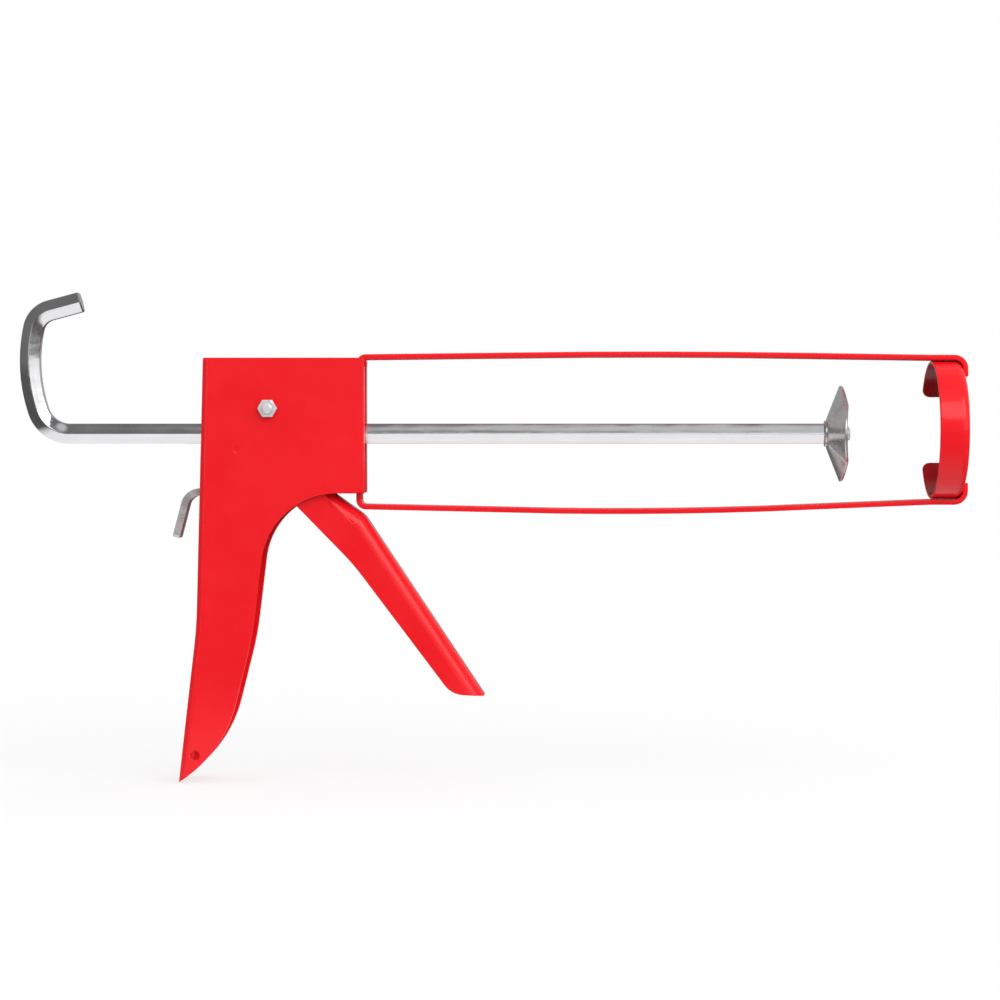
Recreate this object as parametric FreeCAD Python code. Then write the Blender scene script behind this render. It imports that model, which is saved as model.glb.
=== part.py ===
import FreeCAD, Part
import math
import os

# Strap-frame caulking gun for one standard sealant cartridge.
# X runs forward along the push rod, Z is up, Y is across the gun.
# The origin is the rod axis where it meets the front face of the cradle's rear web.
# All lengths are millimetres.

V = FreeCAD.Vector

# ---- cartridge bay and cradle ----------------------------------------------
CARTRIDGE_LENGTH = 215.0
CARTRIDGE_CLEARANCE = 7.8
BAY_LENGTH = CARTRIDGE_LENGTH + CARTRIDGE_CLEARANCE
CUP_CENTRE_Z = 1.4
CUP_OUTER_R = 25.85
CUP_WALL = 1.2
CUP_DEPTH = 11.2
CUP_CORNER_R = 3.2
CUP_LIP_R = 0.5
CUP_GAP_WIDTH = 25.0
CUP_TAB_R = 3.0
NOZZLE_SLOT_R = 10.5
STRAP_T = 2.0
STRAP_WIDTH = 13.0
STRAP_REAR_BEND_R = 3.6
STRAP_FRONT_BEND_R = 5.2
STRAP_LEVEL_R = 40.0
STRAP_LEVEL_RUN = 1.0
STRAP_BOW_TOP = 0.75
STRAP_BOW_BOTTOM = 1.7
STRAP_REAR_RISE = 0.2
STRAP_REAR_DROP = 1.7
STRAP_RETURN = 8.2
STRAP_SHADOW_GAP = 0.1

# ---- push rod, hook and plunger --------------------------------------------
ROD_AF = 7.5
ROD_RUN = 0.05
ROD_REAR_X = -109.6
HOOK_FIRST_R = 12.5
HOOK_FIRST_ANGLE = 72.0
HOOK_LONG_R = 60.0
HOOK_LONG_ANGLE = 30.0
HOOK_TOP_R = 8.6
HOOK_TOP_ANGLE = 63.0
HOOK_END_LENGTH = 12.2
HOOK_CHAMFER = 0.5
PLUNGER_SETBACK = 48.9
PLUNGER_SIDE_ROOM = 9.55
PLUNGER_LOBE = 1.4
PLUNGER_LOBES = 4
PLUNGER_SHEET = 1.3
PLUNGER_DISH_DEPTH = 5.2
PLUNGER_SKIRT = 1.6
PLUNGER_PETAL_SKIRT = 0.9
PLUNGER_FLARE = 0.4
PLUNGER_FLOOR_EDGE = 0.57
PLUNGER_NOTCH_R = 11.0
SHOULDER_T = 0.8
STUD_R = 2.8
STUD_LENGTH = 8.7
PLUNGER_NUT_ROOM = 0.28
PLUNGER_NUT_T = 4.0

# ---- folded handle housing ---------------------------------------------------
SHEET_T = 1.2
HOUSING_WIDTH = 24.0
HOUSING_FOLD_R = 2.8
HOUSING_TOP_RISE = 0.8
HOUSING_BOTTOM_LIFT = 6.0
HOUSING_REAR_X = -58.8
HOUSING_FLANGE_T = 1.2
LIP_ROD_ROOM = 1.27
LIP_TOP_DROP = 3.0
LIP_FOLD_R = 1.1
SPINE_END_Z = -140.0
HANG_HOLE_R = 1.8
HANG_HOLE_X = -61.9
HANG_HOLE_Z = -119.6
TAIL_SLOT_TOP_Z = -13.0
TAIL_SLOT_BOTTOM_Z = -26.5
LUG_WIDTH = 8.0
DIMPLE_X = -46.2
DIMPLE_Z = -6.1
DIMPLE_R = 1.7
DIMPLE_DEPTH = 0.35

# ---- trigger and its pivot -----------------------------------------------------
PIVOT_X = -34.5
PIVOT_Z = 9.3
PIVOT_R = 2.0
PIVOT_RUN = 0.05
SLEEVE_R = 3.0
PIVOT_NUT_AF = 6.3
PIVOT_NUT_T = 2.4
BOLT_END = 1.3
BOLT_HEAD_R = 4.0
BOLT_HEAD_T = 2.0
TRIGGER_SIDE_RUN = 1.3
TRIGGER_WEB_TOP_X = -16.0
TRIGGER_WEB_TOP_RISE = 12.3
TRIGGER_KNEE_X = 1.2
TRIGGER_KNEE_ROOM = 2.2
TRIGGER_TIP_X = 46.0
TRIGGER_TIP_Z = -98.0
TRIGGER_FOLD_R = 5.4
TRIGGER_BOSS_R = 7.0
NOSE_RISE = 13.2
SLEEVE_ROOM = 0.3
NOSE_R = 3.0

# ---- drive plate, brake lever and springs ---------------------------------------
DRIVE_T = 3.0
PLATE_SIDE_RUN = 0.6
DRIVE_TOP_Z = 26.0
DRIVE_HEAD_Z = 18.6
DRIVE_BOTTOM_Z = -9.5
DRIVE_GAP = 0.2
DRIVE_SIDE_RUN = 0.5
DRIVE_HOLE_RUN = 0.15
PLATE_CORNER_R = 1.2
BRAKE_T = 2.8
BRAKE_FULCRUM_X = -54.3
BRAKE_FULCRUM_Z = 17.0
BRAKE_TOP_RISE = 7.0
BRAKE_TILT = 6.0
BRAKE_GAP = 0.3
BRAKE_HOLE_RUN = 0.35
BRAKE_NECK_Z = -12.0
TAIL_WIDTH = 9.4
TAIL_SIDE_RUN = 0.6
TAIL_EXIT_Z = -21.4
TAIL_BEND_X = -65.2
TAIL_END_X = -69.5
TAIL_END_Z = -38.8
DRIVE_SPRING_ROOM = 1.87
DRIVE_SPRING_WIRE_R = 0.65
DRIVE_SPRING_TURNS = 8
BRAKE_SPRING_ROOM = 1.07
BRAKE_SPRING_WIRE_R = 0.45
BRAKE_SPRING_TURNS = 6
BRAKE_SPRING_GAP = 0.5

# ---- values that follow from the ones above --------------------------------
CUP_FRONT_X = BAY_LENGTH + CUP_WALL
STRAP_FRONT_X = CUP_FRONT_X + STRAP_T / 2.0
STRAP_TOP_Z = CUP_CENTRE_Z + CUP_OUTER_R + STRAP_SHADOW_GAP + STRAP_T / 2.0
STRAP_BOTTOM_Z = CUP_CENTRE_Z - CUP_OUTER_R - STRAP_SHADOW_GAP - STRAP_T / 2.0
WEB_REAR_X = -STRAP_T
STRAP_REAR_TOP_Z = STRAP_TOP_Z + STRAP_REAR_RISE
STRAP_REAR_BOTTOM_Z = STRAP_BOTTOM_Z - STRAP_REAR_DROP
STRAP_UNDERSIDE_Z = STRAP_REAR_BOTTOM_Z - STRAP_T / 2.0
HOUSING_INNER = HOUSING_WIDTH - 2.0 * SHEET_T
HOUSING_TOP_Z = STRAP_TOP_Z - STRAP_T / 2.0 + HOUSING_TOP_RISE
HOUSING_BOTTOM_Z = STRAP_UNDERSIDE_Z + HOUSING_BOTTOM_LIFT
ROD_CORNER_R = ROD_AF / math.sqrt(3.0)
LIP_INNER_Y = ROD_CORNER_R + LIP_ROD_ROOM
LIP_TOP_Z = HOUSING_TOP_Z - LIP_TOP_DROP
TRIGGER_WIDTH = HOUSING_INNER - 2.0 * TRIGGER_SIDE_RUN
TRIGGER_INNER = TRIGGER_WIDTH - 2.0 * SHEET_T
TRIGGER_KNEE_Z = STRAP_UNDERSIDE_Z - TRIGGER_KNEE_ROOM
TRIGGER_WEB_TOP_Z = TRIGGER_KNEE_Z + TRIGGER_WEB_TOP_RISE
PLATE_WIDTH = TRIGGER_INNER - 2.0 * PLATE_SIDE_RUN
PLUNGER_X = BAY_LENGTH - PLUNGER_SETBACK
PLUNGER_R = CUP_OUTER_R - PLUNGER_SIDE_ROOM
PLUNGER_FLOOR_R = ROD_CORNER_R + PLUNGER_FLOOR_EDGE
PLUNGER_NUT_AF = math.sqrt(3.0) * (PLUNGER_FLOOR_R - PLUNGER_NUT_ROOM)
STUD_END_X = PLUNGER_X + STUD_LENGTH
DRIVE_SPRING_R = ROD_CORNER_R + DRIVE_SPRING_ROOM
BRAKE_SPRING_R = ROD_CORNER_R + BRAKE_SPRING_ROOM
DRIVE_REAR_X = PIVOT_X + SLEEVE_R + SLEEVE_ROOM
NOSE_FRONT_X = DRIVE_REAR_X - DRIVE_GAP
NOSE_X = NOSE_FRONT_X - NOSE_R
NOSE_Z = PIVOT_Z + NOSE_RISE
DRIVE_FRONT_X = DRIVE_REAR_X + DRIVE_T
ROD_FRONT_X = PLUNGER_X - SHOULDER_T
PLUNGER_SLOPE = PLUNGER_DISH_DEPTH / (PLUNGER_R - PLUNGER_FLOOR_R)
BRAKE_SLOPE = math.tan(math.radians(BRAKE_TILT))
BRAKE_FACE_X = BRAKE_FULCRUM_X + BRAKE_T - BRAKE_SLOPE * BRAKE_FULCRUM_Z


# ---- outline helpers --------------------------------------------------------
def at(x, z):
    return V(x, 0.0, z)


def corner_arc(before, corner, after, radius):
    """Start, middle and end of the round that blends one corner."""
    back = (before - corner).normalize()
    on = (after - corner).normalize()
    half = back.getAngle(on) / 2.0
    reach = radius / math.tan(half)
    inward = (back + on).normalize()
    centre = corner + inward * (radius / math.sin(half))
    return corner + back * reach, centre - inward * radius, corner + on * reach


def outline(corners, closed=True):
    """Wire in the XZ plane through (x, z, radius) corners, each corner rounded."""
    points = [at(x, z) for x, z, _ in corners]
    count = len(points)
    stops = []
    for i, (_, _, radius) in enumerate(corners):
        is_end = not closed and i in (0, count - 1)
        if radius <= 0.0 or is_end:
            stops.append((points[i], None, points[i]))
        else:
            arc = corner_arc(points[i - 1], points[i], points[(i + 1) % count], radius)
            stops.append(arc)
    edges = []
    for i, (start, middle, end) in enumerate(stops):
        if middle is not None:
            edges.append(Part.Arc(start, middle, end).toShape())
        if closed or i < count - 1:
            following = stops[(i + 1) % count][0]
            if end.distanceToPoint(following) > 1e-6:
                edges.append(Part.makeLine(end, following))
    return Part.Wire(edges)


def shifted(corners, left):
    """The same open run of corners moved sideways to its left by a distance."""
    points = [at(x, z) for x, z, _ in corners]
    moved = []
    for i, point in enumerate(points):
        into = (point - points[i - 1]).normalize() if i > 0 else None
        out = (points[i + 1] - point).normalize() if i < len(points) - 1 else None
        into = into or out
        out = out or into
        turn = into.x * out.z - into.z * out.x
        normal = at(-into.z - out.z, into.x + out.x).normalize()
        stretch = left / (normal.x * -into.z + normal.z * into.x)
        place = point + normal * stretch
        radius = corners[i][2]
        if radius > 0.0:
            radius = radius - left * math.copysign(1.0, turn)
        moved.append((place.x, place.z, radius))
    return moved


def bent_strip(corners, thickness, width):
    """A flat strip bent along its centre line, spread evenly about Y = 0."""
    left = shifted(corners, thickness / 2.0)
    right = shifted(corners, -thickness / 2.0)
    return slab(outline(left + right[::-1]), width)


def slab(wire, width):
    """A flat outline spread evenly about Y = 0."""
    face = Part.Face(wire)
    face.translate(V(0.0, -width / 2.0, 0.0))
    return face.extrude(V(0.0, width, 0.0))


def box(x0, x1, y0, y1, z0, z1):
    return Part.makeBox(x1 - x0, y1 - y0, z1 - z0, V(x0, y0, z0))


def rod_x(radius, x0, x1, z=0.0):
    return Part.makeCylinder(radius, x1 - x0, V(x0, 0.0, z), V(1.0, 0.0, 0.0))


def rod_y(radius, y0, y1, x, z):
    return Part.makeCylinder(radius, y1 - y0, V(x, y0, z), V(0.0, 1.0, 0.0))


def hexagon(across_flats, origin, normal, up):
    """Hexagon face with its flats facing up and down."""
    side = normal.cross(up).normalize()
    rise = V(up).normalize()
    reach = across_flats / math.sqrt(3.0)
    points = []
    for i in range(7):
        angle = math.radians(60.0 * i)
        points.append(origin + side * (reach * math.cos(angle)) + rise * (reach * math.sin(angle)))
    return Part.Face(Part.makePolygon(points))


def hex_x(across_flats, x0, x1):
    face = hexagon(across_flats, V(x0, 0.0, 0.0), V(1.0, 0.0, 0.0), V(0.0, 0.0, 1.0))
    return face.extrude(V(x1 - x0, 0.0, 0.0))


def hex_y(across_flats, y0, y1, x, z):
    face = hexagon(across_flats, V(x, y0, z), V(0.0, 1.0, 0.0), V(0.0, 0.0, 1.0))
    return face.extrude(V(0.0, y1 - y0, 0.0))


def edges_on(solid, wire, half_width):
    """Edges of a slab that run along one wire on either side face."""
    found = []
    for edge in solid.Edges:
        middle = edge.valueAt((edge.FirstParameter + edge.LastParameter) / 2.0)
        on_side = abs(abs(middle.y) - half_width) < 0.001
        flat = Part.Vertex(middle.x, 0.0, middle.z)
        if on_side and wire.distToShape(flat)[0] < 0.001:
            found.append(edge)
    return found


# ---- cradle ------------------------------------------------------------------
def cradle_strap():
    """One strip: rear web, both long runs and the two ends bent in ahead of the cup."""
    rear_bend = STRAP_REAR_BEND_R - STRAP_T / 2.0
    front_bend = STRAP_FRONT_BEND_R - STRAP_T / 2.0
    level_x = CUP_FRONT_X - CUP_DEPTH - STRAP_LEVEL_RUN
    middle_x = BAY_LENGTH / 2.0
    rear_x = -STRAP_T / 2.0
    middle_top = (STRAP_TOP_Z + STRAP_REAR_TOP_Z) / 2.0 + 2.0 * STRAP_BOW_TOP
    middle_bottom = (STRAP_BOTTOM_Z + STRAP_REAR_BOTTOM_Z) / 2.0 - 2.0 * STRAP_BOW_BOTTOM
    bow_top_r = middle_x * middle_x * 0.9 / (4.0 * STRAP_BOW_TOP)
    bow_bottom_r = middle_x * middle_x * 0.9 / (4.0 * STRAP_BOW_BOTTOM)
    return_top = STRAP_TOP_Z + STRAP_T / 2.0 - STRAP_RETURN
    return_bottom = STRAP_BOTTOM_Z - STRAP_T / 2.0 + STRAP_RETURN
    run = [
        (STRAP_FRONT_X, return_top, 0.0),
        (STRAP_FRONT_X, STRAP_TOP_Z, front_bend),
        (level_x, STRAP_TOP_Z, STRAP_LEVEL_R),
        (middle_x, middle_top, bow_top_r),
        (rear_x, STRAP_REAR_TOP_Z, rear_bend),
        (rear_x, STRAP_REAR_BOTTOM_Z, rear_bend),
        (middle_x, middle_bottom, bow_bottom_r),
        (level_x, STRAP_BOTTOM_Z, STRAP_LEVEL_R),
        (STRAP_FRONT_X, STRAP_BOTTOM_Z, front_bend),
        (STRAP_FRONT_X, return_bottom, 0.0),
    ]
    strap = bent_strip(run, STRAP_T, STRAP_WIDTH)
    rod_hole = hex_x(ROD_AF + 2.0 * ROD_RUN, WEB_REAR_X - 1.0, 1.0)
    return strap.cut(rod_hole)


def front_cup():
    """Pressed cup that holds the cartridge nose, open on one side for the nozzle."""
    rear_x = CUP_FRONT_X - CUP_DEPTH
    outer = rod_x(CUP_OUTER_R, rear_x, CUP_FRONT_X, CUP_CENTRE_Z)
    outer = outer.makeFillet(CUP_CORNER_R, [circle_at(outer, CUP_FRONT_X)])
    inner = rod_x(CUP_OUTER_R - CUP_WALL, rear_x - 1.0, CUP_FRONT_X - CUP_WALL, CUP_CENTRE_Z)
    inner = inner.makeFillet(CUP_CORNER_R - CUP_WALL, [circle_at(inner, CUP_FRONT_X - CUP_WALL)])
    cup = outer.cut(inner)
    lip = circle_at(cup, rear_x, CUP_OUTER_R)
    cup = cup.makeFillet(CUP_LIP_R, [lip])
    beyond = CUP_OUTER_R + 5.0
    slot = rod_x(NOZZLE_SLOT_R, rear_x, CUP_FRONT_X + 1.0, CUP_CENTRE_Z)
    slot_low = CUP_CENTRE_Z - NOZZLE_SLOT_R
    slot_high = CUP_CENTRE_Z + NOZZLE_SLOT_R
    slot_mouth = box(rear_x, CUP_FRONT_X + 1.0, 0.0, beyond, slot_low, slot_high)
    cup = cup.cut(cup_gap(rear_x))
    cup = cup.cut(slot)
    return cup.cut(slot_mouth)


def cup_gap(rear_x):
    """Cutter for the open side of the cup, with round corners left on both tabs."""
    low = CUP_CENTRE_Z - CUP_GAP_WIDTH / 2.0
    high = CUP_CENTRE_Z + CUP_GAP_WIDTH / 2.0
    beyond = CUP_FRONT_X + 1.0
    mouth = [
        (rear_x - 1.0, low - CUP_TAB_R, 0.0),
        (rear_x, low - CUP_TAB_R, 0.0),
        (rear_x, low, CUP_TAB_R),
        (beyond, low, 0.0),
        (beyond, high, 0.0),
        (rear_x, high, CUP_TAB_R),
        (rear_x, high + CUP_TAB_R, 0.0),
        (rear_x - 1.0, high + CUP_TAB_R, 0.0),
    ]
    depth = CUP_OUTER_R
    cutter = slab(outline(mouth), depth)
    flat_y = CUP_OUTER_R - CUP_CORNER_R - 4.0
    cutter.translate(V(0.0, flat_y + depth / 2.0, 0.0))
    return cutter


def circle_at(solid, x, radius=None):
    """The full circular edge of a turned solid on one plane across X."""
    chosen = None
    for edge in solid.Edges:
        flat = abs(edge.BoundBox.XMin - x) < 0.001 and abs(edge.BoundBox.XMax - x) < 0.001
        if not flat or not isinstance(edge.Curve, Part.Circle):
            continue
        if radius is None or abs(edge.Curve.Radius - radius) < 0.001:
            chosen = edge
    return chosen


# ---- housing and handle --------------------------------------------------------
def housing_rear():
    """Corners down the spine, from the top of the housing to past the handle tip."""
    return [
        (HOUSING_REAR_X, HOUSING_TOP_Z, 0.0),
        (-61.4, -72.0, 150.0),
        (-69.3, SPINE_END_Z, 0.0),
    ]


def housing_front():
    """Corners from the handle tip up the finger side to the top front corner."""
    return [
        (-68.1, -130.0, 0.0),
        (-50.9, -118.0, 48.0),
        (-40.4, -76.0, 120.0),
        (-33.9, HOUSING_BOTTOM_Z, 28.0),
        (HOUSING_FLANGE_T, HOUSING_BOTTOM_Z, 1.0),
        (HOUSING_FLANGE_T, HOUSING_TOP_Z, 1.0),
    ]


def handle_housing():
    """One folded sheet: two side walls, a spine behind and two lips ahead of the web."""
    half = HOUSING_WIDTH / 2.0
    beyond = HOUSING_FLANGE_T + 5.0
    spine = outline(housing_rear(), closed=False)
    blank = housing_rear() + [(beyond, SPINE_END_Z, 0.0), (beyond, HOUSING_TOP_Z, 0.0)]
    blank = slab(outline(blank), HOUSING_WIDTH)
    blank = blank.makeFillet(HOUSING_FOLD_R, edges_on(blank, spine, half))
    side = slab(outline(housing_rear()[:2] + housing_front()), HOUSING_WIDTH)
    outer = blank.common(side)

    inside_rear = []
    for x, z, radius in housing_rear():
        inside_rear.append((x + SHEET_T, z, radius))
    inside_rear[0] = (HOUSING_REAR_X + SHEET_T, HOUSING_TOP_Z + 5.0, 0.0)
    inside = inside_rear + [
        (beyond, SPINE_END_Z, 0.0),
        (beyond, HOUSING_TOP_Z + 5.0, 0.0),
    ]
    pocket = slab(outline(inside), HOUSING_INNER)
    spine = outline(inside_rear, closed=False)
    pocket = pocket.makeFillet(HOUSING_FOLD_R - SHEET_T, edges_on(pocket, spine, HOUSING_INNER / 2.0))
    housing = outer.cut(pocket)

    for side in (-1.0, 1.0):
        housing = housing.fuse(front_lip(side))
    housing = housing.fuse(fulcrum_lug())

    housing = housing.cut(hex_x(ROD_AF + 2.0 * ROD_RUN, HOUSING_REAR_X - 8.0, HOUSING_REAR_X + 8.0))
    housing = housing.cut(tail_slot())
    housing = housing.cut(rod_y(PIVOT_R, -half - 1.0, half + 1.0, PIVOT_X, PIVOT_Z))
    housing = housing.cut(rod_y(HANG_HOLE_R, -half - 1.0, half + 1.0, HANG_HOLE_X, HANG_HOLE_Z))
    housing = housing.cut(locating_dimple())
    return housing.removeSplitter()


def front_lip(side):
    """Edge of a side wall folded inward across the front face of the cradle web."""
    outer_y = side * HOUSING_WIDTH / 2.0
    inner_y = side * LIP_INNER_Y
    low_y = min(outer_y, inner_y)
    high_y = max(outer_y, inner_y)
    lip = box(0.0, HOUSING_FLANGE_T, low_y, high_y, HOUSING_BOTTOM_Z, LIP_TOP_Z)
    fold = []
    for edge in lip.Edges:
        middle = edge.valueAt((edge.FirstParameter + edge.LastParameter) / 2.0)
        if abs(middle.x - HOUSING_FLANGE_T) < 0.001 and abs(middle.y - outer_y) < 0.001:
            fold.append(edge)
    return lip.makeFillet(LIP_FOLD_R, fold)


def fulcrum_lug():
    """Tongue pressed in from the spine; the brake plate leans on its round edge."""
    tip_x = BRAKE_FULCRUM_X - BRAKE_GAP
    half_t = SHEET_T / 2.0
    low = BRAKE_FULCRUM_Z - half_t
    high = BRAKE_FULCRUM_Z + half_t
    half = LUG_WIDTH / 2.0
    tongue = box(HOUSING_REAR_X + SHEET_T / 2.0, tip_x - half_t, -half, half, low, high)
    edge = rod_y(half_t, -half, half, tip_x - half_t, BRAKE_FULCRUM_Z)
    return tongue.fuse(edge)


def tail_slot():
    """Window in the spine for the release tail."""
    half = TAIL_WIDTH / 2.0 + TAIL_SIDE_RUN
    x0 = HOUSING_REAR_X - 8.0
    x1 = HOUSING_REAR_X + 8.0
    window = box(x0, x1, -half, half, TAIL_SLOT_BOTTOM_Z, TAIL_SLOT_TOP_Z)
    return window.makeFillet(1.5, [e for e in window.Edges if abs(e.Length - (x1 - x0)) < 0.001])


def locating_dimple():
    """Shallow round press mark in the near side wall."""
    ball_r = (DIMPLE_R ** 2 + DIMPLE_DEPTH ** 2) / (2.0 * DIMPLE_DEPTH)
    y = -HOUSING_WIDTH / 2.0 - ball_r + DIMPLE_DEPTH
    return Part.makeSphere(ball_r, V(DIMPLE_X, y, DIMPLE_Z))


def extended(inside, end, extra):
    """Corner beyond the end of a straight side, on the line from its inside corner."""
    run_x = end[0] - inside[0]
    run_z = end[1] - inside[1]
    grow = 1.0 + extra / math.hypot(run_x, run_z)
    return (inside[0] + run_x * grow, inside[1] + run_z * grow, 0.0)


# ---- trigger -------------------------------------------------------------------
def trigger_front():
    """Corners of the folded front edge, from the top of the web to the tip."""
    return [
        (TRIGGER_WEB_TOP_X, TRIGGER_WEB_TOP_Z, 0.0),
        (TRIGGER_KNEE_X, TRIGGER_KNEE_Z, 9.0),
        (TRIGGER_TIP_X, TRIGGER_TIP_Z, 0.0),
    ]


def trigger_rear():
    """Corners up the open rear side, round the pivot boss and down the cheek."""
    back_x = PIVOT_X - TRIGGER_BOSS_R
    front_x = PIVOT_X + TRIGGER_BOSS_R
    nose_top = NOSE_Z + NOSE_R
    return [
        (33.5, -97.1, 9.0),
        (-3.0, -48.6, 90.0),
        (-27.0, -24.0, 18.0),
        (back_x, -3.0, 10.0),
        (back_x, PIVOT_Z + 3.0, 6.0),
        (NOSE_X - NOSE_R, nose_top, NOSE_R),
        (NOSE_FRONT_X, nose_top, NOSE_R),
        (NOSE_FRONT_X, PIVOT_Z + TRIGGER_BOSS_R - 0.5, 1.0),
        (front_x, PIVOT_Z + 3.0, 4.0),
        (front_x, PIVOT_Z - 5.0, 5.0),
        (-20.5, -10.0, 8.0),
    ]


def trigger():
    """Folded channel: round front for the fingers, two cheeks up past the pivot."""
    outer = slab(outline(trigger_front() + trigger_rear()), TRIGGER_WIDTH)
    front = outline(trigger_front(), closed=False)
    half = TRIGGER_WIDTH / 2.0
    outer = outer.makeFillet(TRIGGER_FOLD_R, edges_on(outer, front, half))

    top, knee, tip = trigger_front()
    above = extended(knee, top, 10.0)
    below = extended(knee, tip, 10.0)
    inner_front = shifted([above, knee, below], -SHEET_T)
    back_x = PIVOT_X - 2.0 * TRIGGER_BOSS_R
    over_z = NOSE_Z + 2.0 * TRIGGER_BOSS_R
    pocket_corners = inner_front + [(back_x, below[1], 0.0), (back_x, over_z, 0.0), (above[0], over_z, 0.0)]
    pocket = slab(outline(pocket_corners), TRIGGER_INNER)
    pocket_front = outline(inner_front, closed=False)
    pocket = pocket.makeFillet(TRIGGER_FOLD_R - SHEET_T, edges_on(pocket, pocket_front, TRIGGER_INNER / 2.0))
    body = outer.cut(pocket)
    half_inner = TRIGGER_INNER / 2.0
    web_end = box(back_x, TRIGGER_WEB_TOP_X, -half_inner, half_inner, TRIGGER_WEB_TOP_Z, over_z)
    body = body.cut(web_end)
    return body.cut(rod_y(SLEEVE_R + PIVOT_RUN, -half - 1.0, half + 1.0, PIVOT_X, PIVOT_Z))


# ---- pivot -----------------------------------------------------------------------
def pivot_bolt():
    """Shank through both walls, domed head on the far side, rounded end past the nut."""
    half = HOUSING_WIDTH / 2.0
    end_y = -half - PIVOT_NUT_T - BOLT_END
    shank = rod_y(PIVOT_R, end_y, half, PIVOT_X, PIVOT_Z)
    end_circle = [e for e in shank.Edges if abs(e.BoundBox.YMax - end_y) < 0.001]
    shank = shank.makeFillet(PIVOT_R * 0.45, end_circle)
    ball_r = (BOLT_HEAD_R ** 2 + BOLT_HEAD_T ** 2) / (2.0 * BOLT_HEAD_T)
    ball = Part.makeSphere(ball_r, V(PIVOT_X, half + BOLT_HEAD_T - ball_r, PIVOT_Z))
    dome = ball.common(rod_y(BOLT_HEAD_R, half, half + BOLT_HEAD_T, PIVOT_X, PIVOT_Z))
    return shank.fuse(dome)


def pivot_nut():
    """Hexagon nut with both rims of its corners turned off."""
    face_y = -HOUSING_WIDTH / 2.0
    nut = hex_y(PIVOT_NUT_AF, face_y - PIVOT_NUT_T, face_y, PIVOT_X, PIVOT_Z)
    rim_r = PIVOT_NUT_AF / 2.0
    reach = PIVOT_NUT_T + 2.0 * rim_r
    cone = Part.makeCone(rim_r, rim_r + 2.0 * reach, reach, V(PIVOT_X, face_y - PIVOT_NUT_T, PIVOT_Z),
                         V(0.0, 1.0, 0.0))
    nut = nut.common(cone)
    return nut.cut(rod_y(PIVOT_R, face_y - PIVOT_NUT_T - 1.0, face_y + 1.0, PIVOT_X, PIVOT_Z))


def pivot_sleeve():
    """Tube between the walls; the trigger cheeks turn on it."""
    half = HOUSING_INNER / 2.0
    tube = rod_y(SLEEVE_R, -half, half, PIVOT_X, PIVOT_Z)
    return tube.cut(rod_y(PIVOT_R, -half - 1.0, half + 1.0, PIVOT_X, PIVOT_Z))


# ---- push rod and plunger ----------------------------------------------------------
def push_rod():
    """Hexagon bar with a bent hook behind and a threaded stud through the plunger."""
    forward = V(1.0, 0.0, 0.0)
    face = hexagon(ROD_AF, V(ROD_FRONT_X, 0.0, 0.0), forward, V(0.0, 0.0, 1.0))
    run = V(ROD_REAR_X - ROD_FRONT_X, 0.0, 0.0)
    rod = face.extrude(run)
    face.translate(run)
    place = V(ROD_REAR_X, 0.0, 0.0)
    heading = V(-1.0, 0.0, 0.0)
    bends = ((HOOK_FIRST_R, HOOK_FIRST_ANGLE), (HOOK_LONG_R, HOOK_LONG_ANGLE), (HOOK_TOP_R, HOOK_TOP_ANGLE))
    for radius, angle in bends:
        towards = V(-heading.z, 0.0, heading.x) * -1.0
        centre = place + towards * radius
        rod = rod.fuse(face.revolve(centre, V(0.0, 1.0, 0.0), angle))
        face.rotate(centre, V(0.0, 1.0, 0.0), angle)
        turn = FreeCAD.Rotation(V(0.0, 1.0, 0.0), angle)
        place = centre + turn.multVec(place - centre)
        heading = turn.multVec(heading)
    arm = face.extrude(heading * HOOK_END_LENGTH)
    rod = rod.fuse(arm)
    end = place + heading * HOOK_END_LENGTH
    end_edges = [e for e in rod.Edges if abs((e.CenterOfMass - end).dot(heading)) < 0.001
                 and e.CenterOfMass.distanceToPoint(end) < ROD_AF]
    rod = rod.makeChamfer(HOOK_CHAMFER, end_edges)
    stud = rod_x(STUD_R, ROD_FRONT_X - 4.0, STUD_END_X)
    stud = stud.makeChamfer(0.5, [circle_at(stud, STUD_END_X)])
    return rod.fuse(stud).removeSplitter()


def lobed_ring(x, radius, lobe):
    """Closed ring across the rod whose radius swells and shrinks once per flute."""
    arcs = []
    count = 2 * PLUNGER_LOBES
    step = 2.0 * math.pi / count
    for i in range(count):
        reach = radius - lobe if i % 2 else radius + lobe
        stops = []
        for turn, r in ((i - 0.5, radius), (i, reach), (i + 0.5, radius)):
            stops.append(V(x, r * math.sin(turn * step), r * math.cos(turn * step)))
        arcs.append(Part.Arc(*stops).toShape())
    return Part.Wire(arcs)


def plunger_sheet_step():
    """Sheet thickness of the sloping dish, measured along the rod."""
    return PLUNGER_SHEET * math.sqrt(1.0 + PLUNGER_SLOPE ** 2)


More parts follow.
